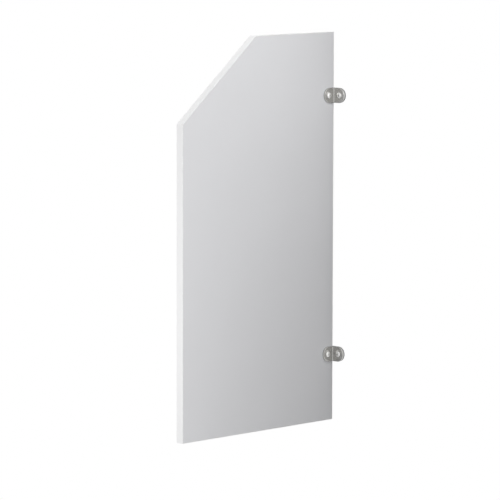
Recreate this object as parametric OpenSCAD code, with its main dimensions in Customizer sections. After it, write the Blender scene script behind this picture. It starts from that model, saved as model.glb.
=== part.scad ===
// Wall-hung privacy screen: a faced board with one cut corner, held by two angle brackets.
// Origin: on the wall plane, at the lower wall screw's axis.
// +Z is up, +Y points into the wall, and the bracket side of the board faces +X.

/* [Screen] */
// Height of the board
panel_h = 900; // [700:10:1400]
// Depth of the board, from the wall side to the front edge
panel_d = 500; // [400:10:700]
// Thickness of the finished board
panel_t = 19; // [16:1:28]
// Length that the cut corner takes off the front edge
slope_drop = 187; // [60:1:260]
// Length that the cut corner takes off the top edge
slope_run = 237; // [60:1:300]
// Thickness of each facing sheet
facing_t = 0.6; // [0.4:0.1:1.2]
// Thickness of the edging
edging_t = 2; // [1:0.5:3]
// Radius on the long arrises of the edging
arris_r = 0.6; // [0.5:0.1:1.6]

/* [Brackets] */
// Distance from the board's top edge down to the upper bracket's centre
upper_inset = 146; // [60:1:250]
// Distance from the board's bottom edge up to the lower bracket's centre
lower_inset = 154; // [60:1:250]
// Height of a bracket, and the width of its round-ended legs
bracket_h = 35; // [28:1:50]
// Length of each leg, measured from the outer corner
leg_len = 35; // [33:1:60]
// Thickness of each leg
leg_t = 4; // [3:0.5:6]
// Radius on the outer edges of the legs
leg_round = 1; // [0.5:0.5:2.5]
// Radius of the fillet in the inner corner
corner_fillet = 2; // [1:0.5:5]
// Distance from the outer corner to each screw
hole_offset = 20; // [17:0.5:22]
// Thickness of the pad between a bracket and the wall
pad_t = 3; // [2:0.5:6]
// How far the pad's edge stays inside the bracket's outline
pad_margin = 0.3; // [0.2:0.1:1]

/* [Screws] */
// Diameter of the screw heads
head_d = 13.5; // [10:0.5:15]
// Height of the screw heads
head_h = 2.8; // [2.4:0.1:4]
// Height of the plain rim at the foot of each head
head_rim_h = 0.8; // [0.4:0.1:1.2]
// Diameter across the arms of the cross recess
recess_d = 4.8; // [4:0.1:6]
// Width of an arm of the cross recess
recess_w = 1.2; // [0.8:0.1:1.6]
// Depth of the cross recess
recess_depth = 1.6; // [1:0.1:2]
// Diameter of the screws that clamp the brackets to the board
clamp_screw_d = 6; // [4:0.5:6.5]
// Length of thread that a clamp screw turns into its sleeve nut
thread_bite = 10; // [8:0.5:11]
// Diameter of the wall screws
wall_screw_d = 6; // [5:0.1:6]
// Length of a wall screw that comes out past the end of its plug
screw_past_plug = 5; // [2:1:15]
// Length of a wall screw's point
screw_point_len = 6; // [3:1:8]
// Diameter at the end of a wall screw's point
screw_tip_d = 0.8; // [0.5:0.1:1.5]
// Radial gap between a screw and its bracket hole
screw_gap = 0.25; // [0.1:0.05:0.6]

/* [Sleeve nuts] */
// Outside diameter of a sleeve nut's barrel
sleeve_d = 8; // [7.5:0.5:10]
// Length by which the barrel stops short of the bracket
sleeve_short = 2; // [1:0.5:3]
// Diameter of a sleeve nut's head
sleeve_head_d = 14; // [12:0.5:18]
// Height of a sleeve nut's head
sleeve_head_h = 2.6; // [2:0.1:4]
// Length of barrel under the head that the thread doesn't reach
sleeve_floor = 1.5; // [0.5:0.1:2]
// Radial gap between a barrel and its hole in the board
board_gap = 0.25; // [0.1:0.05:0.6]
// Radial gap between a screw and the thread that it turns in
thread_gap = 0.05; // [0.02:0.01:0.1]

/* [Wall plugs] */
// Outside diameter of a wall plug, which is the hole drilled in the wall
plug_d = 8; // [8:0.5:12]
// Length of a wall plug
plug_len = 40; // [30:1:60]
// Length of the unslotted mouth of a wall plug
plug_mouth = 10; // [6:1:20]
// Width of the slot along a wall plug
plug_slot = 1.4; // [0.8:0.1:2]
// Depth of the grooves round a wall plug's slotted length
plug_groove_depth = 0.4; // [0.2:0.05:0.5]
// Width of each groove
plug_groove_w = 1.5; // [0.5:0.1:2]
// Distance from one groove to the next
plug_groove_pitch = 5; // [3:0.5:8]

/* [Hidden] */
$fn = 96;
// A small overlap that keeps joints solid
eps = 0.01;
// How far a cut runs past the face that it opens
through = 1;
// Least flat of edging left inside the arris
arris_land = 0.2;

// Heights of the two bracket centres
lower_z = 0;
upper_z = panel_h - upper_inset - lower_inset;

// Faces of the board across its thickness
near_x = -hole_offset;
far_x = near_x - panel_t;
// The board's wall side and the bracket's back lie on the pad's front
rear_y = -pad_t;
front_y = rear_y - panel_d;
bottom_z = lower_z - lower_inset;
top_z = bottom_z + panel_h;

// Depth of the clamp screws' and wall screws' axes from the outer corner of a bracket
clamp_y = rear_y - hole_offset;
// The faces that carry the screw heads
clamp_seat_x = near_x + leg_t;
wall_seat_y = rear_y - leg_t;

end_r = bracket_h / 2;
bar_len = leg_len - end_r;
bracket_hole_r = screw_gap + max(clamp_screw_d, wall_screw_d) / 2;
barrel_len = panel_t - sleeve_short;
board_hole_r = sleeve_d / 2 + board_gap;
clamp_screw_len = leg_t + sleeve_short + thread_bite;
wall_screw_len = leg_t + pad_t + plug_len + screw_past_plug;
// The arris radius stays inside the edging
arris = min(arris_r, edging_t - arris_land);

// The board's outline in depth and height, from the wall side's foot round to its top
outline = [
    [rear_y, bottom_z], [front_y, bottom_z], [front_y, top_z - slope_drop],
    [front_y + slope_run, top_z], [rear_y, top_z]
];

corners = len(outline);

function after(i) = (i + 1) % corners;
function before(i) = (i + corners - 1) % corners;
// Where two lines cross, each given by a point and a direction
function cross2(a, b) = a[0] * b[1] - a[1] * b[0];
function meet(p, u, q, v) = p + u * cross2(q - p, v) / cross2(u, v);
// The direction of edge i, which runs from corner i to the next
function along(i) = let (d = outline[after(i)] - outline[i]) d / norm(d);
// The inward direction of edge i, for an outline that runs clockwise in depth and height
function inward(i) = let (d = along(i)) [d[1], -d[0]];
// Corner i of the outline moved inwards by an edging's thickness
function inset(i, t) =
    let (h = before(i))
    meet(outline[h] + inward(h) * t, along(h), outline[i] + inward(i) * t, along(i));

inner_outline = [for (i = [0:corners - 1]) inset(i, edging_t)];

// A flat shape drawn in depth and height, raised towards +X by t from the plane x = x0
module slab(x0, t) {
    translate([x0, 0, 0]) rotate([90, 0, 90]) linear_extrude(t) children();
}

// ---- Board ----

// One layer of the board inside the edging, with the holes for both sleeve nuts
module board_layer(x0, t) {
    difference() {
        slab(x0, t) polygon(inner_outline);
        for (z = [upper_z, lower_z])
            translate([x0 - through, clamp_y, z]) rotate([0, 90, 0])
                cylinder(r = board_hole_r, h = t + 2 * through);
    }
}

module board_core() {
    color([0.76, 0.66, 0.5]) board_layer(far_x + facing_t, panel_t - 2 * facing_t);
}

module near_face_laminate() {
    color([0.93, 0.93, 0.94]) board_layer(near_x - facing_t, facing_t);
}

module far_face_laminate() {
    color([0.93, 0.93, 0.94]) board_layer(far_x, facing_t);
}

// The edging's section: across the board, and inwards from its outer face
module edging_section() {
    translate([far_x, arris]) square([panel_t, edging_t - arris]);
    translate([far_x + arris, 0]) square([panel_t - 2 * arris, edging_t]);
    for (x = [far_x + arris, near_x - arris]) translate([x, arris]) circle(r = arris);
}

// The strip of edging on edge i, mitred at both ends
module edging_strip(i) {
    next = after(i);
    edge = outline[next] - outline[i];
    color([0.93, 0.93, 0.94]) intersection() {
        slab(far_x, panel_t) polygon([outline[i], outline[next], inner_outline[next], inner_outline[i]]);
        translate([0, outline[i][0], outline[i][1]]) rotate([atan2(edge[1], edge[0]), 0, 0])
            rotate([-90, 0, 0]) linear_extrude(norm(edge)) edging_section();
    }
}

module bottom_edge_band() { edging_strip(0); }
module front_edge_band() { edging_strip(1); }
module slope_edge_band() { edging_strip(2); }
module top_edge_band() { edging_strip(3); }
module rear_edge_band() { edging_strip(4); }

// ---- Brackets ----

// Half of a leg's section: outwards from its middle line, and up from the face that it lies on
module half_section() {
    square([end_r, leg_t - leg_round]);
    square([end_r - leg_round, leg_t]);
    translate([end_r - leg_round, leg_t - leg_round]) intersection() {
        circle(r = leg_round);
        square(leg_round);
    }
}

// A leg that lies on z = 0 with its root at x = 0 and a full round at its free end
module leg() {
    rotate([90, 0, 90]) linear_extrude(bar_len) {
        half_section();
        mirror([1, 0, 0]) half_section();
    }
    translate([bar_len, 0, 0]) rotate([0, 0, -90]) rotate_extrude(angle = 180) half_section();
}

// These place a shape drawn as a leg is: on the board's near face, and on the wall side
module on_board(z) {
    translate([near_x, rear_y, z]) rotate([0, 90, 0]) rotate([0, 0, -90]) children();
}
module on_wall_side(z) {
    translate([near_x, rear_y, z]) rotate([90, 0, 0]) children();
}

// The fillet where the two legs meet
module corner_bead(z) {
    bead_h = bracket_h - 2 * leg_round;
    translate([clamp_seat_x - eps, wall_seat_y + eps, z - bead_h / 2]) mirror([0, 1, 0])
        linear_extrude(bead_h) difference() {
            square(corner_fillet);
            translate([corner_fillet, corner_fillet]) circle(r = corner_fillet);
        }
}

module leg_hole() {
    translate([hole_offset, 0, -through]) cylinder(r = bracket_hole_r, h = leg_t + 2 * through);
}

module bracket(z) {
    color([0.55, 0.545, 0.53]) difference() {
        union() {
            on_board(z) leg();
            on_wall_side(z) leg();
            corner_bead(z);
        }
        on_board(z) leg_hole();
        on_wall_side(z) leg_hole();
    }
}

module upper_bracket() { bracket(upper_z); }
module lower_bracket() { bracket(lower_z); }

// The pad has the outline of the leg that it backs, drawn in by a margin
module wall_pad(z) {
    pad_r = end_r - pad_margin;
    color([0.3, 0.3, 0.31]) translate([near_x, 0, z]) rotate([90, 0, 0]) difference() {
        linear_extrude(pad_t) {
            translate([pad_margin, -pad_r]) square([bar_len - pad_margin, 2 * pad_r]);
            translate([bar_len, 0]) intersection() {
                circle(r = pad_r);
                translate([0, -pad_r]) square([pad_r, 2 * pad_r]);
            }
        }
        translate([hole_offset, 0, -through]) cylinder(r = bracket_hole_r, h = pad_t + 2 * through);
    }
}

module upper_wall_pad() { wall_pad(upper_z); }
module lower_wall_pad() { wall_pad(lower_z); }

// ---- Fasteners ----

// A raised head that sits on z = 0, with a cross recess turned by an angle
module raised_head(d, h, turn) {
    dome_h = h - head_rim_h;
    dome_r = (d * d / 4 + dome_h * dome_h) / (2 * dome_h);
    difference() {
        intersection() {
            cylinder(d = d, h = h);
            translate([0, 0, h - dome_r]) sphere(r = dome_r);
        }
        for (a = [turn, turn + 90]) rotate([0, 0, a])
            translate([-recess_d / 2, -recess_w / 2, h - recess_depth])
                cube([recess_d, recess_w, recess_depth + through]);
    }
}

module panel_screw(z, turn) {
    color([0.8, 0.8, 0.79]) translate([clamp_seat_x, clamp_y, z]) rotate([0, 90, 0]) {
        raised_head(head_d, head_h, turn);
        translate([0, 0, -clamp_screw_len]) cylinder(d = clamp_screw_d, h = clamp_screw_len + eps);
    }
}

module upper_panel_screw() { panel_screw(upper_z, 20); }
module lower_panel_screw() { panel_screw(lower_z, 50); }

module sleeve_nut(z, turn) {
    color([0.8, 0.8, 0.79]) translate([far_x, clamp_y, z]) rotate([0, -90, 0]) difference() {
        union() {
            raised_head(sleeve_head_d, sleeve_head_h, turn);
            translate([0, 0, -barrel_len]) cylinder(d = sleeve_d, h = barrel_len + eps);
        }
        translate([0, 0, -barrel_len - through])
            cylinder(r = clamp_screw_d / 2 + thread_gap, h = barrel_len + through - sleeve_floor);
    }
}

module upper_sleeve_nut() { sleeve_nut(upper_z, 35); }
module lower_sleeve_nut() { sleeve_nut(lower_z, 5); }

module wall_screw(z, turn) {
    color([0.8, 0.8, 0.79]) translate([0, wall_seat_y, z]) rotate([90, 0, 0]) {
        raised_head(head_d, head_h, turn);
        translate([0, 0, screw_point_len - wall_screw_len])
            cylinder(d = wall_screw_d, h = wall_screw_len - screw_point_len + eps);
        translate([0, 0, -wall_screw_len])
            cylinder(d1 = screw_tip_d, d2 = wall_screw_d, h = screw_point_len + eps);
    }
}

module upper_wall_screw() { wall_screw(upper_z, 65); }
module lower_wall_screw() { wall_screw(lower_z, 45); }

// One groove round a plug, cut from the plane z = 0 up
module plug_groove() {
    difference() {
        cylinder(r = plug_d, h = plug_groove_w);
        translate([0, 0, -through])
            cylinder(r = plug_d / 2 - plug_groove_depth, h = plug_groove_w + 2 * through);
    }
}

// A plug with a plain closed mouth, then a slot that lets its grooved length spread
module wall_plug(z) {
    last_groove = plug_len - 2 * plug_groove_w;
    color([0.5, 0.5, 0.5]) translate([0, 0, z]) rotate([-90, 0, 0]) difference() {
        cylinder(d = plug_d, h = plug_len);
        translate([0, 0, -through]) cylinder(r = wall_screw_d / 2 + thread_gap, h = plug_len + 2 * through);
        translate([-plug_d, -plug_slot / 2, plug_mouth]) cube([2 * plug_d, plug_slot, plug_len]);
        for (depth = [plug_mouth:plug_groove_pitch:last_groove]) translate([0, 0, depth]) plug_groove();
    }
}

module upper_wall_plug() { wall_plug(upper_z); }
module lower_wall_plug() { wall_plug(lower_z); }

board_core();
near_face_laminate();
far_face_laminate();
front_edge_band();
slope_edge_band();
top_edge_band();
rear_edge_band();
bottom_edge_band();
upper_bracket();
lower_bracket();
upper_wall_pad();
lower_wall_pad();
upper_panel_screw();
lower_panel_screw();
upper_sleeve_nut();
lower_sleeve_nut();
upper_wall_screw();
lower_wall_screw();
upper_wall_plug();
lower_wall_plug();
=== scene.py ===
"""The finished look of a wall-hung privacy screen: board, edging, brackets, fixings and studio."""

import math

import bmesh
import bpy
from bmesh.types import BMEdge, BMFace, BMVert
from bpy.props import FloatProperty, FloatVectorProperty, PointerProperty
from mathutils import Matrix, Vector


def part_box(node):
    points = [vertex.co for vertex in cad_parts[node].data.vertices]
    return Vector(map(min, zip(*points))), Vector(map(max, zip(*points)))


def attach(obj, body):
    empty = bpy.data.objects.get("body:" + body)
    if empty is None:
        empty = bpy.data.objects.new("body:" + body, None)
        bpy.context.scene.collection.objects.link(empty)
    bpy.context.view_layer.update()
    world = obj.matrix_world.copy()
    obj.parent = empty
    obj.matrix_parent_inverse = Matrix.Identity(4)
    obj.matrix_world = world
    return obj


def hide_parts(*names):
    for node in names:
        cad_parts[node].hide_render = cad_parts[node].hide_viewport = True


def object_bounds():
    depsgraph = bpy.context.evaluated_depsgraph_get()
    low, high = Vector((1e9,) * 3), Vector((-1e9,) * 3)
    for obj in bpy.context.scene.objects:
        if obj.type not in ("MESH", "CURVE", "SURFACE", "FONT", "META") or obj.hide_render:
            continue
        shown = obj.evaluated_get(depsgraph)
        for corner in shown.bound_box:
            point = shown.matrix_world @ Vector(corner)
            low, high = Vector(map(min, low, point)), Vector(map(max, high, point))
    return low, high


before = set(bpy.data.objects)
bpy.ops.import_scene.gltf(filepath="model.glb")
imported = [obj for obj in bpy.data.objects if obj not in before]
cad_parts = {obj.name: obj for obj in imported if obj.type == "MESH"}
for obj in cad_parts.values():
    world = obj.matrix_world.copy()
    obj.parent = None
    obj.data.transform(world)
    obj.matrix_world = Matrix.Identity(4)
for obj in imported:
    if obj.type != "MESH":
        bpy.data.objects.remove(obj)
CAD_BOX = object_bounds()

bl_info = {
    "name": "Privacy Screen",
    "version": (1, 0, 0),
    "blender": (4, 5, 0),
    "location": "View3D > Sidebar > Privacy Screen",
    "description": "Builds the finished surfaces and small parts of a wall-hung privacy screen",
    "category": "Object",
}

BODY = "root"
PLACES = ("upper", "lower")
MM = 0.001
MICRON = 0.000001
X_AXIS = Vector((1, 0, 0))
Z_AXIS = Vector((0, 0, 1))
QUARTER_TURN = math.pi / 2
WHITE = (1, 1, 1, 1)
NODE_SPACING = 180

# Meshes: how many steps a round takes, and how near is the same.
TURN_STEPS = 64
HOLE_STEPS = 48
END_STEPS = 32
ROUND_STEPS = 6
SOFT_STEPS = 2
HEAD_RINGS = 6
NEAR_ENOUGH = 1e-6
PARALLEL = 0.9999
SHARP_ANGLE = math.radians(32)

# Threads: half a ridge's width at its root and at its crest, and a fine thread's depth, are shares
# of the pitch.
THREAD_STEPS = 24
THREAD_SEAT = 0.1 * MM
ROOT_SHARE = 0.4
CREST_SHARE = 0.08
FINE_PITCH = 2 * MM
FINE_DEPTH_SHARE = 0.55
COARSE_DEPTH = 0.9 * MM
CLAMP_NECK = 1 * MM
POINT_SHARE = 0.14

# Recesses: how far they narrow, and their turns in degrees: panel screw, wall screw, sleeve nut.
RECESS_TAPER = 0.72
HEAD_TURNS = {"upper": (20, 65, 35), "lower": (50, 45, 5)}

# The stage, in metres, and the camera's sensor, in millimetres. A lamp has its turn round the board
# and its height in degrees, its distance from the board's middle, its size, and whether mirrored
# rays see it.
FLOOR_DROP = 0.45
FLOOR_SPAN = 8.0
BACKDROP_RISE = 0.75
BACKDROP_WIDTH = 3.0
BACKDROP_GAP = 0.2 * MM
CAMERA_SENSOR = 36.0
CAMERA_REACH = 50.0
LAMPS = {
    "key": (100, 45, 0.8, 0.5, True),
    "fill": (25, -7, 0.8, 1.2, False),
    "top": (-150, 65, 1.6, 1.0, True),
    "far": (-95, 20, 1.0, 0.8, True),
}


# ---- Settings --------------------------------------------


def number(name, description, default, **kind):
    """A number property, with its unit or subtype if it has one."""
    return FloatProperty(name=name, description=description, default=default, **kind)


def length(name, description, default):
    """A length property, in metres."""
    return number(name, description, default, min=0.0, precision=5, unit="LENGTH")


def angle(name, description, degrees):
    """An angle property, given in degrees and kept in radians."""
    return number(name, description, math.radians(degrees), subtype="ANGLE")


def power(name, description, watts):
    """A lamp's power property."""
    return number(name, description, watts, unit="POWER")


def colour(name, description, default):
    """A linear colour property."""
    return FloatVectorProperty(
        name=name, description=description, default=default, min=0.0, max=1.0, size=3, subtype="COLOR"
    )


class BoardSettings(bpy.types.PropertyGroup):
    """Sizes and colours of the board and its edging."""

    edging_thickness: length("Edging", "Thickness of the edging strips", 2 * MM)
    arris_radius: length("Arris", "Radius on the long outer edges of the edging", 0.6 * MM)
    joint_chamfer: length("Joint", "Chamfer that leaves a fine line beside the facing", 0.12 * MM)
    facing_colour: colour("Facing", "Colour of the facing sheets", (0.84, 0.842, 0.86))
    edging_colour: colour("Edging colour", "Colour of the edging strips", (0.87, 0.87, 0.874))
    core_colour: colour("Core", "Colour of the pressed chips", (0.46, 0.33, 0.19))


class BracketSettings(bpy.types.PropertyGroup):
    """Sizes and colours of the angle brackets and their pads."""

    thickness: length("Leg thickness", "Thickness of each leg", 4 * MM)
    rim_radius: length("Rim", "Radius on the outer edges of the legs", 1 * MM)
    back_chamfer: length("Back edge", "Chamfer on the edges that lie on the board and the pad", 0.2 * MM)
    fillet: length("Fillet", "Radius in the inner corner", 2 * MM)
    hole_clearance: length("Hole clearance", "Gap round a screw in its bracket hole", 0.25 * MM)
    hole_chamfer: length("Hole chamfer", "Chamfer at the mouth of each hole", 0.4 * MM)
    pad_edge: length("Pad edge", "Rounding on the edges of the pads", 0.35 * MM)
    metal_colour: colour("Metal", "Colour of the satin metal", (0.525, 0.519, 0.505))
    # The pads' dark colour is partly their own and partly a painted contact shadow behind the brackets.
    pad_and_shadow_colour: colour("Pad", "Colour of the moulded pads", (0.12, 0.12, 0.125))


class FixingSettings(bpy.types.PropertyGroup):
    """Sizes and colours of the screws, sleeve nuts and wall plugs."""

    head_height: length("Head", "Height of a screw's raised head, before its recess", 2.8 * MM)
    nut_head_height: length("Nut head", "Height of a sleeve nut's head, before its recess", 2.6 * MM)
    rim_height: length("Head rim", "Height of the plain rim of a head", 0.8 * MM)
    rim_chamfer: length("Head chamfer", "Chamfer at the foot and shoulder of a head", 0.25 * MM)
    recess_span: length("Recess span", "Length across the arms of the cross recess", 4.8 * MM)
    recess_width: length("Recess width", "Width of an arm of the cross recess", 1.2 * MM)
    recess_depth: length("Recess depth", "Depth of the cross recess", 1.6 * MM)
    shank_diameter: length("Screw", "Diameter over the thread of each screw", 6 * MM)
    clamp_pitch: length("Clamp pitch", "Pitch of the clamp screws' thread", 1 * MM)
    wall_pitch: length("Wall pitch", "Pitch of the wall screws' thread", 2.6 * MM)
    point_length: length("Point", "Length of a wall screw's point", 6 * MM)
    barrel_diameter: length("Barrel", "Diameter of a sleeve nut's barrel", 8 * MM)
    barrel_floor: length("Barrel floor", "Barrel under the head that the bore leaves whole", 1.5 * MM)
    thread_gap: length("Thread gap", "Gap round a screw in its sleeve nut", 0.05 * MM)
    plated_colour: colour("Plating", "Colour of the plated steel", (0.88, 0.875, 0.86))
    plug_colour: colour("Plug", "Colour of the moulded plugs", (0.42, 0.43, 0.44))


class StudioSettings(bpy.types.PropertyGroup):
    """The camera, the lamps and the levels of the surroundings."""

    azimuth: angle("Azimuth", "Turn of the camera round the screen, from the front", 43.0)
    elevation: angle("Elevation", "Height of the camera above the horizon", 6.26)
    roll: angle("Roll", "Turn of the camera about its own line of sight", 0.126)
    distance: length("Distance", "Distance from the camera to its aim", 8.487)
    aim: FloatVectorProperty(
        name="Aim",
        description="Point that the camera looks at",
        default=(-0.0381, -0.2651, 0.2603),
        size=3,
        precision=4,
        subtype="XYZ",
        unit="LENGTH",
    )
    lens: number("Lens", "Focal length on a 36 mm sensor", 269.8, unit="CAMERA")
    sky_level: number("Sky", "Level of the surrounding light", 0.62)
    shade_width: length("Shade", "Width of the backdrop's shade beside the board", 40 * MM)
    shade_level: number("Shade level", "Level of that shade where it meets the board", 0.1)
    floor_tone: number("Floor", "Tone of the floor", 0.7)
    floor_glow: number("Floor glow", "Level that lifts the floor towards white for the eye", 0.25)
    key_power: power("Key", "Power of the high lamp on the bracket side", 1.8)
    fill_power: power("Fill", "Power of the large lamp in front", 3.7)
    top_power: power("Top", "Power of the lamp above and behind", 15.5)
    far_power: power("Far", "Power of the lamp on the far side", 3.0)


# ---- Node trees ------------------------------------------


def connect(tree, socket, value):
    """Links a socket to an input, or sets the input's own value."""
    if isinstance(value, bpy.types.NodeSocket):
        tree.links.new(value, socket)
    else:
        socket.default_value = value


def add(tree, kind, inputs=None, **settings):
    """Adds a node, with its settings and its inputs."""
    node = tree.nodes.new(kind)
    node.location = (NODE_SPACING * len(tree.nodes), 0)
    for name, value in settings.items():
        setattr(node, name, value)
    for name, value in (inputs or {}).items():
        connect(tree, node.inputs[name], value)
    return node


def maths(tree, operation, first, second):
    """The result of one sum on two values or sockets."""
    return add(tree, "ShaderNodeMath", {0: first, 1: second}, operation=operation).outputs[0]


def times(tree, first, second):
    """The product of two values or sockets."""
    return maths(tree, "MULTIPLY", first, second)


def either(tree, first, second):
    """The larger of two values or sockets, which joins two masks."""
    return maths(tree, "MAXIMUM", first, second)


def weighed(tree, first, second, share):
    """The sum of two sockets, the first with a share and the second with the rest."""
    return maths(tree, "ADD", times(tree, first, share), times(tree, second, 1.0 - share))


def between(tree, value, low, high, from_low=0.0, from_high=1.0):
    """A value moved from one range to another, and held there."""
    inputs = {"Value": value, "From Min": from_low, "From Max": from_high, "To Min": low, "To Max": high}
    return add(tree, "ShaderNodeMapRange", inputs, clamp=True).outputs["Result"]


def blend_colours(tree, factor, first, second):
    """A colour between two, by a factor."""
    return add(tree, "ShaderNodeMix", {0: factor, 6: first, 7: second}, data_type="RGBA").outputs[2]


def noise(tree, where, scale, detail=2.0, roughness=0.5):
    """Plain noise from 0 to 1."""
    inputs = {"Vector": where, "Scale": scale, "Detail": detail, "Roughness": roughness}
    return add(tree, "ShaderNodeTexNoise", inputs).outputs["Fac"]


def stretched(tree, where, scale):
    """Coordinates scaled by their own amount along each axis."""
    inputs = {0: where, 1: scale}
    return add(tree, "ShaderNodeVectorMath", inputs, operation="MULTIPLY").outputs[0]


def shaded(rgb, share):
    """A colour made darker or lighter by a share, with full alpha."""
    return (*(min(1.0, part * share) for part in rgb), 1.0)


def new_group(name, inputs, output):
    """A shader node group with named sockets: its tree, its inside inputs and its inside output.

    An input is a socket kind with its default, by name. The output is a name with a socket kind.
    """
    tree = bpy.data.node_groups.new(name, "ShaderNodeTree")
    for label, (kind, default) in {"Vector": ("Vector", (0, 0, 0)), **inputs}.items():
        socket = tree.interface.new_socket(name=label, in_out="INPUT", socket_type=f"NodeSocket{kind}")
        socket.default_value = default
    label, kind = output
    tree.interface.new_socket(name=label, in_out="OUTPUT", socket_type=f"NodeSocket{kind}")
    result = tree.nodes.new("NodeGroupOutput").inputs[0]
    return tree, tree.nodes.new("NodeGroupInput").outputs, result


def soft_mottle():
    """Group: a slow drift between two near tones, over a finer one."""
    name = "Soft Mottle"
    if name in bpy.data.node_groups:
        return bpy.data.node_groups[name]
    tones = {"Light": ("Color", WHITE), "Dark": ("Color", (0.9, 0.9, 0.9, 1))}
    tree, given, result = new_group(name, {"Scale": ("Float", 5.0), **tones}, ("Color", "Color"))
    slow = noise(tree, given["Vector"], given["Scale"], detail=3.0)
    finer = times(tree, given["Scale"], 40.0)
    fine = noise(tree, given["Vector"], finer, detail=4.0, roughness=0.6)
    both = weighed(tree, slow, fine, share=0.65)
    spread = between(tree, both, 0.0, 1.0, from_low=0.35, from_high=0.65)
    connect(tree, result, blend_colours(tree, spread, given["Dark"], given["Light"]))
    return tree


def fine_grain():
    """Group: a fine relief that can be drawn out along one direction."""
    name = "Fine Grain"
    if name in bpy.data.node_groups:
        return bpy.data.node_groups[name]
    inputs = {"Stretch": ("Vector", (1, 1, 1)), "Scale": ("Float", 800.0)}
    tree, given, result = new_group(name, inputs, ("Height", "Float"))
    where = stretched(tree, given["Vector"], given["Stretch"])
    coarse = noise(tree, where, given["Scale"])
    fine = noise(tree, where, times(tree, given["Scale"], 3.1), detail=3.0, roughness=0.6)
    connect(tree, result, weighed(tree, coarse, fine, share=0.6))
    return tree


def edge_wear_and_highlight():
    """Group: a mask that is 1 on outer and inner edges and breaks up along them, for wear and for
    painted highlights.
    """
    name = "Edge Wear"
    if name in bpy.data.node_groups:
        return bpy.data.node_groups[name]
    inputs = {"Width": ("Float", 0.5 * MM), "Breakup": ("Float", 900.0)}
    tree, given, result = new_group(name, inputs, ("Mask", "Float"))
    rounded = add(tree, "ShaderNodeBevel", {"Radius": given["Width"]}, samples=4).outputs[0]
    flat = add(tree, "ShaderNodeNewGeometry").outputs["Normal"]
    normals = {0: rounded, 1: flat}
    agree = add(tree, "ShaderNodeVectorMath", normals, operation="DOT_PRODUCT").outputs[1]
    edge = between(tree, agree, 1.0, 0.0, from_low=0.86, from_high=0.995)
    patchy = noise(tree, given["Vector"], given["Breakup"], detail=3.0)
    broken = between(tree, patchy, 0.2, 1.0, from_low=0.35, from_high=0.6)
    connect(tree, result, times(tree, edge, broken))
    return tree


def handling_marks():
    """Group: sparse soft smudges from hands and cleaning."""
    name = "Handling Marks"
    if name in bpy.data.node_groups:
        return bpy.data.node_groups[name]
    tree, given, result = new_group(name, {"Scale": ("Float", 10.0)}, ("Mask", "Float"))
    drift = noise(tree, given["Vector"], given["Scale"], detail=4.0, roughness=0.55)
    patches = between(tree, drift, 0.0, 1.0, from_low=0.52, from_high=0.72)
    drawn_out = stretched(tree, given["Vector"], (1, 1, 0.25))
    streaks = noise(tree, drawn_out, times(tree, given["Scale"], 9.0), detail=3.0)
    connect(tree, result, times(tree, patches, streaks))
    return tree


def corner_shade():
    """Group: a mask of painted shade that darkens corners and where pieces meet, a little uneven."""
    name = "Corner Grime"
    if name in bpy.data.node_groups:
        return bpy.data.node_groups[name]
    tree, given, result = new_group(name, {"Reach": ("Float", 2 * MM)}, ("Mask", "Float"))
    reach = {"Distance": given["Reach"]}
    light = add(tree, "ShaderNodeAmbientOcclusion", reach, samples=8).outputs["AO"]
    corner = between(tree, light, 1.0, 0.0, from_low=0.3, from_high=0.9)
    patchy = noise(tree, given["Vector"], 700.0, detail=3.0)
    uneven = between(tree, patchy, 0.6, 1.0, from_low=0.35, from_high=0.65)
    connect(tree, result, times(tree, corner, uneven))
    return tree


def use(tree, group, where, **inputs):
    """Places a node group at some coordinates and returns its output."""
    return add(tree, "ShaderNodeGroup", {"Vector": where, **inputs}, node_tree=group).outputs[0]


def drifting(tree, where, rgb, scale, light, dark):
    """A colour that drifts over the surface between two shares of itself."""
    return use(tree, soft_mottle(), where, Scale=scale, Light=shaded(rgb, light), Dark=shaded(rgb, dark))


def tinted(tree, tone, mask, share, other):
    """A tone moved by a share towards another colour where a mask is set."""
    return blend_colours(tree, times(tree, mask, share), tone, other)


def roughness(tree, grain, low, high, mask, change):
    """Roughness that follows the grain, changed where a mask is set."""
    return maths(tree, "ADD", between(tree, grain, low, high), times(tree, mask, change))


def relief(tree, height, depth):
    """A bump of a real depth, in metres."""
    inputs = {"Height": height, "Distance": depth, "Strength": 1.0}
    return add(tree, "ShaderNodeBump", inputs).outputs["Normal"]


# ---- Materials -------------------------------------------


def new_material(name):
    """A material with an output and a Principled shader: material, tree, shader and coordinates."""
    material = bpy.data.materials.new(name)
    material.use_nodes = True
    tree = material.node_tree
    tree.nodes.clear()
    shader = add(tree, "ShaderNodeBsdfPrincipled")
    add(tree, "ShaderNodeOutputMaterial", {"Surface": shader.outputs["BSDF"]})
    return material, tree, shader, add(tree, "ShaderNodeTexCoord").outputs["Object"]


def feed(tree, shader, **sockets):
    """Links sockets, or sets values, on a shader's inputs. An underscore stands for a space."""
    for label, value in sockets.items():
        connect(tree, shader.inputs[label.replace("_", " ")], value)


def facing_material(board):
    """Satin white facing: a faint pearl texture, slow tone drift and wiping marks."""
    material, tree, shader, where = new_material("satin_white_facing")
    rgb = board.facing_colour
    tone = drifting(tree, where, rgb, scale=6.0, light=1.006, dark=0.99)
    marks = use(tree, handling_marks(), where, Scale=7.0)
    grain = use(tree, fine_grain(), where, Scale=420.0)
    feed(
        tree,
        shader,
        Base_Color=tinted(tree, tone, marks, 0.25, shaded(rgb, 0.97)),
        Roughness=roughness(tree, grain, 0.36, 0.44, marks, 0.12),
        Normal=relief(tree, grain, 20 * MICRON),
        IOR=1.5,
    )
    return material


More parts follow.
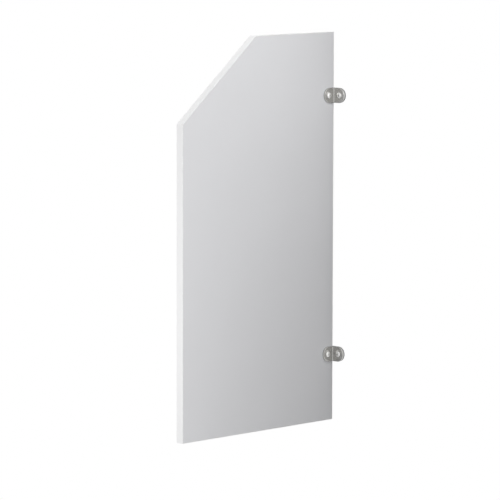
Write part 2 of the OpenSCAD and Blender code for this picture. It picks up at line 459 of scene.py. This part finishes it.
def edging_material(board):
    """White plastic edging: a little finer and brighter than the facing, rubbed at its arrises."""
    material, tree, shader, where = new_material("white_plastic_edging")
    rgb = board.edging_colour
    tone = drifting(tree, where, rgb, scale=14.0, light=1.005, dark=0.985)
    grain = use(tree, fine_grain(), where, Scale=1500.0, Stretch=(1, 0.2, 0.2))
    wear_and_highlight = use(tree, edge_wear_and_highlight(), where, Width=0.4 * MM, Breakup=600.0)
    feed(
        tree,
        shader,
        Base_Color=tinted(tree, tone, wear_and_highlight, 0.3, shaded(rgb, 0.96)),
        Roughness=roughness(tree, grain, 0.34, 0.46, wear_and_highlight, -0.1),
        Normal=relief(tree, grain, 10 * MICRON),
        IOR=1.5,
    )
    return material


def core_material(board):
    """Pressed chipboard: flat chips of many tones with dark gaps between them."""
    material, tree, shader, where = new_material("pressed_chipboard")
    rgb = board.core_colour
    flattened = stretched(tree, where, (2.5, 1, 1))
    cells = {"Vector": flattened, "Scale": 320.0}
    chips = add(tree, "ShaderNodeTexVoronoi", cells).outputs["Color"]
    tones = add(tree, "ShaderNodeSeparateColor", {0: chips}).outputs[0]
    gaps = add(tree, "ShaderNodeTexVoronoi", cells, feature="DISTANCE_TO_EDGE").outputs["Distance"]
    gap_mask = between(tree, gaps, 1.0, 0.0, from_low=0.0, from_high=0.08)
    fibre = use(tree, fine_grain(), flattened, Scale=2200.0, Stretch=(1, 0.15, 1))
    chip = blend_colours(tree, tones, shaded(rgb, 0.7), shaded(rgb, 1.45))
    feed(
        tree,
        shader,
        Base_Color=blend_colours(tree, gap_mask, chip, shaded(rgb, 0.3)),
        Roughness=between(tree, fibre, 0.7, 0.95),
        Normal=relief(tree, maths(tree, "SUBTRACT", fibre, gap_mask), 100 * MICRON),
    )
    return material


def bracket_material(bracket):
    """Satin metal: grain along both legs, a slow drift in tone, edges lighter from wear and a painted
    highlight on the rims and fillet, and painted shade in corners.
    """
    material, tree, shader, where = new_material("satin_bracket_metal")
    rgb = bracket.metal_colour
    grain = use(tree, fine_grain(), where, Scale=3000.0, Stretch=(0.06, 0.06, 1))
    tone = drifting(tree, where, rgb, scale=60.0, light=1.05, dark=0.94)
    wear_and_highlight = use(tree, edge_wear_and_highlight(), where, Width=0.5 * MM)
    # Lighter edges: partly rubbed wear, partly a painted highlight on the rims and the inner fillet.
    rubbed_and_highlit = tinted(tree, tone, wear_and_highlight, 0.8, shaded(rgb, 1.35))
    # Painted shade: darker in the inner corner and where the bracket meets the board.
    painted_shade = use(tree, corner_shade(), where, Reach=3 * MM)
    marks = use(tree, handling_marks(), where, Scale=90.0)
    feed(
        tree,
        shader,
        Base_Color=blend_colours(tree, painted_shade, rubbed_and_highlit, shaded(rgb, 0.4)),
        Roughness=roughness(tree, grain, 0.13, 0.22, marks, 0.12),
        Metallic=1.0,
        Normal=relief(tree, grain, 5 * MICRON),
    )
    return material


def plated_material(fixing):
    """Bright plated steel: fine marks, a soft cloudiness and painted shade in its deep places, which are
    also duller.
    """
    material, tree, shader, where = new_material("bright_plated_steel")
    rgb = fixing.plated_colour
    grain = use(tree, fine_grain(), where, Scale=2600.0)
    tone = drifting(tree, where, rgb, scale=120.0, light=1.03, dark=0.93)
    # Painted shade in the recesses and where the head meets the bracket, which also makes them duller.
    painted_shade = use(tree, corner_shade(), where, Reach=1.5 * MM)
    feed(
        tree,
        shader,
        Base_Color=blend_colours(tree, painted_shade, tone, shaded(rgb, 0.3)),
        Roughness=roughness(tree, grain, 0.42, 0.54, painted_shade, 0.2),
        Metallic=1.0,
        Normal=relief(tree, grain, 5 * MICRON),
    )
    return material


def pad_and_shadow_material(bracket):
    """Dark moulded rubber, its darkness partly a painted contact shadow behind the brackets: a fine matt
    skin, paler where its edges are rubbed.
    """
    material, tree, shader, where = new_material("dark_moulded_rubber")
    rgb = bracket.pad_and_shadow_colour
    grain = use(tree, fine_grain(), where, Scale=2400.0)
    tone = drifting(tree, where, rgb, scale=150.0, light=1.2, dark=0.8)
    wear_and_highlight = use(tree, edge_wear_and_highlight(), where, Width=0.4 * MM)
    feed(
        tree,
        shader,
        Base_Color=tinted(tree, tone, wear_and_highlight, 0.5, shaded(rgb, 1.9)),
        Roughness=between(tree, grain, 0.62, 0.82),
        Normal=relief(tree, grain, 30 * MICRON),
    )
    return material


def plug_material(fixing):
    """Grey moulded nylon: slightly waxy, with a drift in tone and rubbed ridges."""
    material, tree, shader, where = new_material("grey_moulded_nylon")
    rgb = fixing.plug_colour
    grain = use(tree, fine_grain(), where, Scale=1800.0, Stretch=(1, 0.3, 1))
    tone = drifting(tree, where, rgb, scale=110.0, light=1.08, dark=0.9)
    wear_and_highlight = use(tree, edge_wear_and_highlight(), where, Width=0.3 * MM)
    feed(
        tree,
        shader,
        Base_Color=tinted(tree, tone, wear_and_highlight, 0.5, shaded(rgb, 1.35)),
        Roughness=between(tree, grain, 0.4, 0.55),
        Normal=relief(tree, grain, 20 * MICRON),
        Subsurface_Weight=0.1,
        Subsurface_Scale=2 * MM,
    )
    return material


# ---- Mesh tools ------------------------------------------


def only(kind, items):
    """The items of one bmesh kind."""
    return [item for item in items if isinstance(item, kind)]


def whole(bm):
    """All the geometry of a bmesh."""
    return bm.verts[:] + bm.edges[:] + bm.faces[:]


def merge(bm):
    """Joins the corners that meet."""
    bmesh.ops.remove_doubles(bm, verts=bm.verts[:], dist=NEAR_ENOUGH)


def face_outwards(bm):
    """Turns every face outwards."""
    bmesh.ops.recalc_face_normals(bm, faces=bm.faces[:])


def move(bm, matrix):
    """Moves all of a bmesh."""
    bmesh.ops.transform(bm, matrix=matrix, verts=bm.verts[:])


def bevel(bm, edges, offset, segments):
    """A round or chamfer on edges."""
    bmesh.ops.bevel(
        bm, geom=edges, offset=offset, segments=segments, profile=0.5, affect="EDGES", material=-1
    )


def cut_off(bm, point, normal):
    """Cuts off what lies behind a plane, and gives the edges of the cut."""
    cut = bmesh.ops.bisect_plane(
        bm, geom=whole(bm), dist=NEAR_ENOUGH, plane_co=point, plane_no=normal, clear_inner=True
    )
    return only(BMEdge, cut["geom_cut"])


def edges_at(bm, level):
    """The edges that lie at a height."""
    return [e for e in bm.edges if all(abs(v.co.z - level) < NEAR_ENOUGH for v in e.verts)]


def shade(bm):
    """Smooth faces, with the edges past an angle kept sharp."""
    for face in bm.faces:
        face.smooth = True
    for edge in bm.edges:
        edge.smooth = edge.calc_face_angle(math.pi) < SHARP_ANGLE


def turned(bm, profile):
    """A surface turned about Z from a profile of (radius, height) points."""
    verts = [bm.verts.new((radius, 0, height)) for radius, height in profile]
    edges = [bm.edges.new(pair) for pair in zip(verts, verts[1:])]
    bmesh.ops.spin(
        bm,
        geom=verts + edges,
        cent=(0, 0, 0),
        axis=Z_AXIS,
        angle=math.tau,
        steps=TURN_STEPS,
        use_merge=True,
    )
    merge(bm)


def ring(bm, radius, place):
    """The edges of an open circle about the Z axis of a placement."""
    made = bmesh.ops.create_circle(bm, cap_ends=False, segments=HOLE_STEPS, radius=radius, matrix=place)
    return list({edge for vert in made["verts"] for edge in vert.link_edges})


def flat_face(bm, direction, level):
    """The largest flat face with a normal and a height along it."""
    found = [
        face
        for face in bm.faces
        if face.normal.dot(direction) > PARALLEL
        and abs(face.calc_center_median().dot(direction) - level) < NEAR_ENOUGH
    ]
    if not found:
        raise RuntimeError("a flat face is missing")
    return max(found, key=lambda face: face.calc_area())


def open_hole(bm, centre, direction, depth, radius, chamfer):
    """Opens a round hole between two flat faces that lie a depth apart, chamfered at its mouth."""
    bm.normal_update()
    top, bottom = flat_face(bm, direction, depth), flat_face(bm, -direction, 0.0)
    turn = direction.to_track_quat("Z", "Y").to_matrix().to_4x4()
    rings = []
    for level, size in ((depth, radius + chamfer), (depth - chamfer, radius), (0.0, radius)):
        rings.append(ring(bm, size, Matrix.Translation(centre + direction * level) @ turn))
    for face, opening in ((top, rings[0]), (bottom, rings[-1])):
        outline = list(face.edges)
        bmesh.ops.delete(bm, geom=[face], context="FACES_ONLY")
        bmesh.ops.triangle_fill(bm, edges=outline + opening, use_beauty=True)
    for upper, lower in zip(rings, rings[1:]):
        bmesh.ops.bridge_loops(bm, edges=upper + lower)


def leg_blank(bm, root, reach, height, thickness):
    """A flat bar along X with a full round at its far end, thickness up Z."""
    end = height / 2
    bar = reach - end
    first = bm.verts.new((bar, -end, 0))
    arc = bmesh.ops.spin(
        bm, geom=[first], cent=(bar, 0, 0), axis=Z_AXIS, angle=math.pi, steps=END_STEPS, use_merge=False
    )
    last = only(BMVert, arc["geom_last"])[0]
    near_first = bm.verts.new((root, -end, 0))
    near_last = bm.verts.new((root, end, 0))
    for pair in ((near_first, first), (last, near_last), (near_last, near_first)):
        bm.edges.new(pair)
    bmesh.ops.contextual_create(bm, geom=bm.edges[:])
    raised = bmesh.ops.extrude_face_region(bm, geom=bm.faces[:])["geom"]
    bmesh.ops.translate(bm, verts=only(BMVert, raised), vec=(0, 0, thickness))
    face_outwards(bm)


def to_scene(name, data):
    """Adds an object to the scene."""
    made = bpy.data.objects.new(name, data)
    bpy.context.scene.collection.objects.link(made)
    return made


def to_object(bm, name, material):
    """Turns a bmesh into an object of one material."""
    mesh = bpy.data.meshes.new(name)
    bm.to_mesh(mesh)
    bm.free()
    mesh.materials.append(material)
    return to_scene(name, mesh)


def add_piece(bm, name, node, material):
    """Turns a closed bmesh into a finished piece that stands for a CAD node."""
    merge(bm)
    face_outwards(bm)
    if not all(edge.is_manifold for edge in bm.edges):
        raise RuntimeError(f"{name} is not a closed mesh")
    shade(bm)
    piece = to_object(bm, name, material)
    weighted = piece.modifiers.new("Flat faces stay flat", "WEIGHTED_NORMAL")
    weighted.keep_sharp = True
    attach(piece, BODY)
    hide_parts(node)


def dress(node, material):
    """Gives a CAD node that keeps its shape its finished material."""
    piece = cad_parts[node]
    piece.data.materials.clear()
    piece.data.materials.append(material)


def middle_of(node):
    """The middle of a CAD node's box, as x, y and z."""
    return [(low + high) / 2 for low, high in zip(*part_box(node))]


# ---- Pieces ----------------------------------------------


def board_corners():
    """The board's outline as (depth, height) points, from its rear foot round to its rear top."""
    low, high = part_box("rear_edge_band")
    front_low, front_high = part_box("front_edge_band")
    top_low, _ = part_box("top_edge_band")
    return [
        Vector((high.y, low.z)),
        Vector((front_low.y, low.z)),
        Vector((front_low.y, front_high.z)),
        Vector((top_low.y, high.z)),
        Vector((high.y, high.z)),
    ]


def build_edging_strip(node, index, corners, board, material):
    """One strip of edging: a bar with rounded arrises, mitred into its neighbours."""
    count = len(corners)
    start, end = corners[index], corners[(index + 1) % count]
    before, after = corners[index - 1], corners[(index + 2) % count]
    run = (end - start).normalized()
    low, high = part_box(node)
    spare = 4 * board.edging_thickness
    size = Vector((high.x - low.x, board.edging_thickness, (end - start).length + 2 * spare))
    middle = Vector((0, size.y / 2, size.z / 2 - spare))
    bm = bmesh.new()
    bmesh.ops.create_cube(bm, size=1.0, matrix=Matrix.Translation(middle) @ Matrix.Diagonal((*size, 1)))
    long_edges = [e for e in bm.edges if abs((e.verts[0].co - e.verts[1].co).z) > spare]
    outer = [e for e in long_edges if e.verts[0].co.y < NEAR_ENOUGH]
    inner = [e for e in long_edges if e not in outer]
    bevel(bm, inner, board.joint_chamfer, 1)
    bevel(bm, outer, board.arris_radius, ROUND_STEPS)
    inward = Vector((0, run.y, -run.x))
    along = Vector((0, run.x, run.y))
    into_place = Matrix((X_AXIS, inward, along)).transposed().to_4x4()
    into_place.translation = Vector((middle_of(node)[0], start.x, start.y))
    move(bm, into_place)
    for point, neighbour, keep in ((start, start - before, 1), (end, after - end, -1)):
        bisector = keep * (run + neighbour.normalized())
        cut = cut_off(bm, (0, point.x, point.y), (0, bisector.x, bisector.y))
        bmesh.ops.contextual_create(bm, geom=cut)
    add_piece(bm, f"{node}_strip", node, material)


def build_bracket(place, bracket, fixing, material):
    """An angle bracket: one leg, mitred and mirrored, with a filleted corner and two holes."""
    node = f"{place}_bracket"
    low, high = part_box(node)
    thickness = bracket.thickness
    bm = bmesh.new()
    leg_blank(bm, -2 * thickness - bracket.rim_radius, high.x - low.x, high.z - low.z, thickness)
    bevel(bm, edges_at(bm, 0.0), bracket.back_chamfer, 1)
    bevel(bm, edges_at(bm, thickness), bracket.rim_radius, ROUND_STEPS)
    cut_off(bm, (0, 0, 0), (1, 0, -1))
    copied = bmesh.ops.duplicate(bm, geom=whole(bm))["geom"]
    swap = Matrix(((0, 0, 1, 0), (0, 1, 0, 0), (1, 0, 0, 0), (0, 0, 0, 1)))
    bmesh.ops.transform(bm, matrix=swap, verts=only(BMVert, copied))
    merge(bm)
    face_outwards(bm)
    corner = [
        e
        for e in bm.edges
        if all(abs(v.co.x - v.co.z) < NEAR_ENOUGH and v.co.x > thickness - NEAR_ENOUGH for v in e.verts)
    ]
    bevel(bm, corner, bracket.fillet, ROUND_STEPS)
    hole_at = high.y - middle_of(f"{place}_panel_screw")[1]
    radius = fixing.shank_diameter / 2 + bracket.hole_clearance
    for along, outward in ((X_AXIS, Z_AXIS), (Z_AXIS, X_AXIS)):
        open_hole(bm, along * hole_at, outward, thickness, radius, bracket.hole_chamfer)
    level = middle_of(node)[2]
    move(bm, Matrix(((0, 0, 1, low.x), (-1, 0, 0, high.y), (0, -1, 0, level), (0, 0, 0, 1))))
    add_piece(bm, f"{node}_angle", node, material)


def build_pad(place, bracket, fixing, material):
    """A moulded pad behind a bracket's outer leg, with softened edges and a hole."""
    node = f"{place}_wall_pad"
    low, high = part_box(node)
    thickness = high.y - low.y
    bm = bmesh.new()
    leg_blank(bm, 0.0, high.x - low.x, high.z - low.z, thickness)
    bevel(bm, edges_at(bm, thickness) + edges_at(bm, 0.0), bracket.pad_edge, SOFT_STEPS)
    centre = X_AXIS * (middle_of(f"{place}_wall_screw")[0] - low.x)
    radius = fixing.shank_diameter / 2 + bracket.hole_clearance
    open_hole(bm, centre, Z_AXIS, thickness, radius, bracket.pad_edge)
    point = (low.x, high.y, middle_of(node)[2])
    move(bm, Matrix.Translation(point) @ Matrix.Rotation(QUARTER_TURN, 4, "X"))
    add_piece(bm, f"{node}_moulding", node, material)


def dome_height(radius, head_radius, head_height, rim_height):
    """Height of a raised head's dome at a radius."""
    rise = head_height - rim_height
    sphere = (head_radius**2 + rise**2) / (2 * rise)
    return head_height - sphere + math.sqrt(sphere**2 - radius**2)


def cap_radius(fixing):
    """Radius of the ring that stays whole round a head's recess."""
    return fixing.recess_span / 2 + 2 * fixing.rim_chamfer


def head_profile(radius, height, fixing):
    """The profile of a raised head, from its foot up to the ring round its recess."""
    chamfer, rim = fixing.rim_chamfer, fixing.rim_height
    cap = cap_radius(fixing)
    profile = [(radius - chamfer, 0.0), (radius, chamfer), (radius, rim - chamfer)]
    for step in range(HEAD_RINGS + 1):
        at = radius - chamfer + (cap - radius + chamfer) * step / HEAD_RINGS
        profile.append((at, dome_height(at, radius, height, rim)))
    return profile


def sink_recess(bm, radius, height, turn, fixing):
    """Closes the ring on top of a head with a cross recess that narrows as it goes down."""
    level = dome_height(cap_radius(fixing), radius, height, fixing.rim_height)
    rim = [e for e in edges_at(bm, level) if e.is_boundary]
    place = Matrix.Translation((0, 0, level)) @ Matrix.Rotation(turn, 4, "Z")
    half_width = fixing.recess_width / 2
    made = bmesh.ops.create_grid(bm, x_segments=1, y_segments=1, size=half_width, matrix=place)
    square = made["verts"][0].link_faces[0]
    faces = [square]
    reach = (fixing.recess_span - fixing.recess_width) / 2
    for edge in list(square.edges):
        away = (edge.verts[0].co + edge.verts[1].co) / 2 - Vector((0, 0, level))
        arm = bmesh.ops.extrude_edge_only(bm, edges=[edge])["geom"]
        bmesh.ops.translate(bm, verts=only(BMVert, arm), vec=away.normalized() * reach)
        faces += only(BMFace, arm)
    outline = [e for e in {e for f in faces for e in f.edges} if e.is_boundary]
    bmesh.ops.triangle_fill(bm, edges=rim + outline, use_beauty=True)
    for vert in {v for f in faces for v in f.verts}:
        vert.co.z = dome_height(vert.co.xy.length, radius, height, fixing.rim_height)
    floor = only(BMVert, bmesh.ops.extrude_face_region(bm, geom=faces)["geom"])
    for vert in floor:
        vert.co.z = height - fixing.recess_depth
    bmesh.ops.scale(bm, vec=(RECESS_TAPER, RECESS_TAPER, 1), verts=floor)
    bmesh.ops.delete(bm, geom=[f for f in faces if f.is_valid], context="FACES_ONLY")
    bmesh.ops.delete(bm, geom=[e for e in bm.edges if e.is_wire], context="EDGES")


def wind_thread(bm, core, crest, pitch, low, high):
    """A helical ridge round Z, as a closed shell seated in the core."""
    steps = int((high - low - pitch) / pitch * THREAD_STEPS)
    seat = core - THREAD_SEAT
    section = ((seat, -ROOT_SHARE), (crest, -CREST_SHARE), (crest, CREST_SHARE), (seat, ROOT_SHARE))
    verts = [bm.verts.new((radius, 0, low + pitch * (0.5 + share))) for radius, share in section]
    edges = [bm.edges.new((verts[i - 1], verts[i])) for i in range(len(verts))]
    wound = bmesh.ops.spin(
        bm,
        geom=verts + edges,
        cent=(0, 0, 0),
        axis=Z_AXIS,
        dvec=(0, 0, pitch / THREAD_STEPS),
        angle=math.tau * steps / THREAD_STEPS,
        steps=steps,
        use_merge=False,
    )
    last = only(BMEdge, wound["geom_last"])
    bmesh.ops.contextual_create(bm, geom=edges)
    bmesh.ops.contextual_create(bm, geom=last)


def screw_mesh(shank, plain, pitch, point, radius, turn, fixing):
    """A raised-head screw along -Z with its head on z = 0: plain neck, thread and end."""
    full = fixing.shank_diameter / 2
    core = full - FINE_DEPTH_SHARE * pitch if pitch < FINE_PITCH else full - COARSE_DEPTH
    chamfer = fixing.rim_chamfer
    bm = bmesh.new()
    wind_thread(bm, core, full, pitch, -shank, -plain)
    profile = [(0, -shank), (core - chamfer, -shank), (core, -shank + chamfer)]
    if point:
        profile.append((core, -shank + point))
    profile += [(core, -plain), (full, -plain + full - core), (full, 0.0)]
    turned(bm, profile + head_profile(radius, fixing.head_height, fixing))
    sink_recess(bm, radius, fixing.head_height, turn, fixing)
    for vert in bm.verts:
        if point and vert.co.z < -shank + point:
            share = max(POINT_SHARE, (vert.co.z + shank) / point)
            vert.co.x *= share
            vert.co.y *= share
    return bm


def seat_turned(bm, node, point, turn, axis, material):
    """Turns a piece with a head from the Z axis to its own, and sets its seat on a point."""
    move(bm, Matrix.Translation(point) @ Matrix.Rotation(turn, 4, axis))
    add_piece(bm, f"{node}_turned", node, material)


def build_panel_screw(place, turn, bracket, fixing, material):
    """The screw that clamps a bracket to the board."""
    node = f"{place}_panel_screw"
    low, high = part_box(node)
    _, y, z = middle_of(node)
    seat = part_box(f"{place}_bracket")[0].x + bracket.thickness
    radius = (high.z - low.z) / 2
    neck = bracket.thickness + CLAMP_NECK
    bm = screw_mesh(seat - low.x, neck, fixing.clamp_pitch, 0.0, radius, turn, fixing)
    seat_turned(bm, node, (seat, y, z), QUARTER_TURN, "Y", material)


def build_wall_screw(place, turn, bracket, fixing, material):
    """The screw that holds a bracket to its wall plug."""
    node = f"{place}_wall_screw"
    low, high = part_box(node)
    x, _, z = middle_of(node)
    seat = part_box(f"{place}_bracket")[1].y - bracket.thickness
    radius = max(high.x - low.x, high.z - low.z) / 2
    bm = screw_mesh(high.y - seat, -seat, fixing.wall_pitch, fixing.point_length, radius, turn, fixing)
    seat_turned(bm, node, (x, seat, z), QUARTER_TURN, "X", material)


def build_sleeve_nut(place, turn, fixing, material):
    """A blind sleeve nut: a domed head on the far face and a bored barrel in the board."""
    node = f"{place}_sleeve_nut"
    low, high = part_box(node)
    _, y, z = middle_of(node)
    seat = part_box("far_face_laminate")[0].x
    radius = (high.z - low.z) / 2
    barrel, mouth = fixing.barrel_diameter / 2, seat - high.x
    bore = fixing.shank_diameter / 2 + fixing.thread_gap
    chamfer = fixing.rim_chamfer
    profile = [
        (0, -fixing.barrel_floor),
        (bore, -fixing.barrel_floor),
        (bore, mouth + chamfer),
        (bore + chamfer, mouth),
        (barrel - chamfer, mouth),
        (barrel, mouth + chamfer),
        (barrel, 0.0),
    ]
    bm = bmesh.new()
    turned(bm, profile + head_profile(radius, fixing.nut_head_height, fixing))
    sink_recess(bm, radius, fixing.nut_head_height, turn, fixing)
    seat_turned(bm, node, (seat, y, z), -QUARTER_TURN, "Y", material)


# ---- Studio ----------------------------------------------


def background_ray(tree):
    """1 for the rays that show the background: camera, glossy and transmission."""
    path = add(tree, "ShaderNodeLightPath").outputs
    seen = either(tree, path["Is Camera Ray"], path["Is Glossy Ray"])
    return either(tree, seen, path["Is Transmission Ray"])


def make_world(studio):
    """White surroundings to the eye, and a plain even light on the screen."""
    world = bpy.data.worlds.new("plain_white")
    world.use_nodes = True
    tree = world.node_tree
    tree.nodes.clear()
    strength = between(tree, background_ray(tree), studio.sky_level, 1.0)
    light = add(tree, "ShaderNodeBackground", {"Color": WHITE, "Strength": strength})
    add(tree, "ShaderNodeOutputWorld", {"Surface": light.outputs[0]})
    bpy.context.scene.world = world


def backdrop_material(studio, board_far, board_near):
    """A white backdrop, open from behind and no bar to any lamp, that keeps the board's own shade.

    The camera sees it plain white. Where it is mirrored, it darkens towards the board. Right behind
    the board and the pads it lets the surrounding light through, so that their backs aren't black.
    """
    material = bpy.data.materials.new("backdrop_wall")
    material.use_nodes = True
    tree = material.node_tree
    tree.nodes.clear()
    geometry = add(tree, "ShaderNodeNewGeometry").outputs
    across = add(tree, "ShaderNodeSeparateXYZ", {0: geometry["Position"]}).outputs["X"]
    path = add(tree, "ShaderNodeLightPath").outputs
    shade_end = board_near + studio.shade_width
    unshaded = between(tree, across, studio.shade_level, 1.0, board_near, shade_end)
    strength = either(tree, times(tree, unshaded, background_ray(tree)), path["Is Camera Ray"])
    glow = add(tree, "ShaderNodeEmission", {"Color": WHITE, "Strength": strength})
    clear = add(tree, "ShaderNodeBsdfTransparent")
    past_far_side = maths(tree, "GREATER_THAN", across, board_far)
    short_of_near_side = maths(tree, "LESS_THAN", across, board_near)
    touching = maths(tree, "LESS_THAN", path["Ray Length"], 1 * MM)
    covered = either(tree, times(tree, past_far_side, short_of_near_side), touching)
    open_ray = either(tree, geometry["Backfacing"], path["Is Shadow Ray"])
    see_through = either(tree, open_ray, times(tree, covered, path["Is Diffuse Ray"]))
    mixed = add(tree, "ShaderNodeMixShader", {0: see_through, 1: glow.outputs[0], 2: clear.outputs[0]})
    add(tree, "ShaderNodeOutputMaterial", {"Surface": mixed.outputs[0]})
    return material


def floor_material(studio):
    """A pale matt floor that keeps shadows, lifted a little towards white for the eye."""
    material, tree, shader, where = new_material("pale_floor")
    feed(
        tree,
        shader,
        Base_Color=drifting(tree, where, (studio.floor_tone,) * 3, scale=1.2, light=1.01, dark=0.99),
        Roughness=0.9,
        Emission_Color=WHITE,
        Emission_Strength=times(tree, background_ray(tree), studio.floor_glow),
    )
    return material


def stage_plane(name, size, place, material):
    """A flat sheet of the stage."""
    bm = bmesh.new()
    sized = place @ Matrix.Diagonal((*size, 1, 1))
    bmesh.ops.create_grid(bm, x_segments=1, y_segments=1, size=0.5, matrix=sized)
    plane = to_object(bm, name, material)


def bearing(azimuth, elevation):
    """The way out from the board: azimuth 0 is in front of it, a quarter turn on its bracket side."""
    flat = math.cos(elevation)
    return Vector((math.sin(azimuth) * flat, -math.cos(azimuth) * flat, math.sin(elevation)))


def aimed(back):
    """The turn of a lamp or camera that looks the other way."""
    return (-back).to_track_quat("-Z", "Y")


def add_lamp(name, centre, power):
    """A square soft lamp from the list of lamps, aimed at the board and not seen itself."""
    azimuth, elevation, distance, size, mirrored = LAMPS[name]
    data = bpy.data.lights.new(f"{name}_lamp", "AREA")
    data.shape = "SQUARE"
    data.size = size
    data.energy = power
    lamp = to_scene(f"{name}_lamp", data)
    lamp.location = centre + distance * bearing(math.radians(azimuth), math.radians(elevation))
    lamp.rotation_euler = aimed(lamp.location - centre).to_euler()
    lamp.visible_camera = False
    lamp.visible_glossy = mirrored


def add_camera(studio):
    """The camera at the viewing angle, placed by its aim, turn and distance."""
    data = bpy.data.cameras.new("studio_camera")
    data.sensor_width = CAMERA_SENSOR
    data.lens = studio.lens
    data.clip_end = CAMERA_REACH
    camera = to_scene("studio_camera", data)
    back = bearing(studio.azimuth, studio.elevation)
    turn = aimed(back).to_matrix().to_4x4() @ Matrix.Rotation(studio.roll, 4, "Z")
    camera.matrix_world = Matrix.Translation(Vector(studio.aim) + back * studio.distance) @ turn
    bpy.context.scene.camera = camera


# ---- Operators -------------------------------------------


class PRIVACYSCREEN_OT_facings(bpy.types.Operator):
    """Finish the chipboard core and both white facing sheets"""

    bl_idname = "privacy_screen.facings"
    bl_label = "Board and Facings"

    def execute(self, context):
        board = context.scene.screen_board
        facing = facing_material(board)
        dress("near_face_laminate", facing)
        dress("far_face_laminate", facing)
        dress("board_core", core_material(board))
        return {"FINISHED"}


class PRIVACYSCREEN_OT_edging(bpy.types.Operator):
    """Build the five mitred strips of edging"""

    bl_idname = "privacy_screen.edging"
    bl_label = "Edging"

    def execute(self, context):
        board = context.scene.screen_board
        material = edging_material(board)
        corners = board_corners()
        for index, side in enumerate(("bottom", "front", "slope", "top", "rear")):
            build_edging_strip(f"{side}_edge_band", index, corners, board, material)
        return {"FINISHED"}


class PRIVACYSCREEN_OT_brackets(bpy.types.Operator):
    """Build both angle brackets"""

    bl_idname = "privacy_screen.brackets"
    bl_label = "Brackets"

    def execute(self, context):
        bracket, fixing = context.scene.screen_bracket, context.scene.screen_fixing
        material = bracket_material(bracket)
        for place in PLACES:
            build_bracket(place, bracket, fixing, material)
        return {"FINISHED"}


class PRIVACYSCREEN_OT_pads(bpy.types.Operator):
    """Build the pads behind the brackets"""

    bl_idname = "privacy_screen.pads"
    bl_label = "Wall Pads"

    def execute(self, context):
        bracket, fixing = context.scene.screen_bracket, context.scene.screen_fixing
        material = pad_and_shadow_material(bracket)
        for place in PLACES:
            build_pad(place, bracket, fixing, material)
        return {"FINISHED"}


class PRIVACYSCREEN_OT_screws(bpy.types.Operator):
    """Build the clamp screws, the wall screws and the sleeve nuts"""

    bl_idname = "privacy_screen.screws"
    bl_label = "Screws and Sleeve Nuts"

    def execute(self, context):
        bracket, fixing = context.scene.screen_bracket, context.scene.screen_fixing
        material = plated_material(fixing)
        for place in PLACES:
            panel, wall, nut = (math.radians(turn) for turn in HEAD_TURNS[place])
            build_panel_screw(place, panel, bracket, fixing, material)
            build_wall_screw(place, wall, bracket, fixing, material)
            build_sleeve_nut(place, nut, fixing, material)
        return {"FINISHED"}


class PRIVACYSCREEN_OT_plugs(bpy.types.Operator):
    """Finish the wall plugs"""

    bl_idname = "privacy_screen.plugs"
    bl_label = "Wall Plugs"

    def execute(self, context):
        material = plug_material(context.scene.screen_fixing)
        for place in PLACES:
            dress(f"{place}_wall_plug", material)
        return {"FINISHED"}


class PRIVACYSCREEN_OT_stage(bpy.types.Operator):
    """Set the backdrop, the floor, the surroundings, the lamps and the camera"""

    bl_idname = "privacy_screen.stage"
    bl_label = "Stage"

    def execute(self, context):
        studio = context.scene.screen_studio
        low, high = CAD_BOX
        centre = Vector((low.x, (low.y + high.y) / 2, (low.z + high.z) / 2))
        foot, top = low.z - FLOOR_DROP, high.z + BACKDROP_RISE
        board_low, board_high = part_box("rear_edge_band")
        backdrop = backdrop_material(studio, board_low.x, board_high.x)
        upright = Matrix.Rotation(QUARTER_TURN, 4, "X")
        backdrop_place = Matrix.Translation((0, BACKDROP_GAP, (foot + top) / 2)) @ upright
        stage_plane("stage_wall", (BACKDROP_WIDTH, top - foot), backdrop_place, backdrop)
        floor_place = Matrix.Translation((0, 0, foot))
        stage_plane("stage_floor", (FLOOR_SPAN, FLOOR_SPAN), floor_place, floor_material(studio))
        make_world(studio)
        for name in LAMPS:
            add_lamp(name, centre, getattr(studio, f"{name}_power"))
        add_camera(studio)
        context.scene.view_settings.view_transform = "Standard"
        return {"FINISHED"}


class VIEW3D_PT_privacy_screen(bpy.types.Panel):
    """The screen's sizes, colours and build steps"""

    bl_label = "Privacy Screen"
    bl_space_type = "VIEW_3D"
    bl_region_type = "UI"
    bl_category = "Privacy Screen"

    def draw(self, context):
        for operator in OPERATORS:
            self.layout.operator(operator.bl_idname)
        for attribute, group in SETTINGS.items():
            box = self.layout.box()
            for name in group.__annotations__:
                box.prop(getattr(context.scene, attribute), name)


SETTINGS = {
    "screen_board": BoardSettings,
    "screen_bracket": BracketSettings,
    "screen_fixing": FixingSettings,
    "screen_studio": StudioSettings,
}
OPERATORS = (
    PRIVACYSCREEN_OT_facings,
    PRIVACYSCREEN_OT_edging,
    PRIVACYSCREEN_OT_brackets,
    PRIVACYSCREEN_OT_pads,
    PRIVACYSCREEN_OT_screws,
    PRIVACYSCREEN_OT_plugs,
    PRIVACYSCREEN_OT_stage,
)


def register():
    """Registers the settings, the operators and the panel."""
    for attribute, group in SETTINGS.items():
        bpy.utils.register_class(group)
        setattr(bpy.types.Scene, attribute, PointerProperty(type=group))
    for operator in OPERATORS:
        bpy.utils.register_class(operator)
    bpy.utils.register_class(VIEW3D_PT_privacy_screen)


def unregister():
    """Takes away what register added."""
    bpy.utils.unregister_class(VIEW3D_PT_privacy_screen)
    for operator in reversed(OPERATORS):
        bpy.utils.unregister_class(operator)
    for attribute, group in SETTINGS.items():
        delattr(bpy.types.Scene, attribute)
        bpy.utils.unregister_class(group)


def main():
    register()
    for operator in OPERATORS:
        category, name = operator.bl_idname.split(".")
        getattr(getattr(bpy.ops, category), name)()


if __name__ == "__main__":
    main()
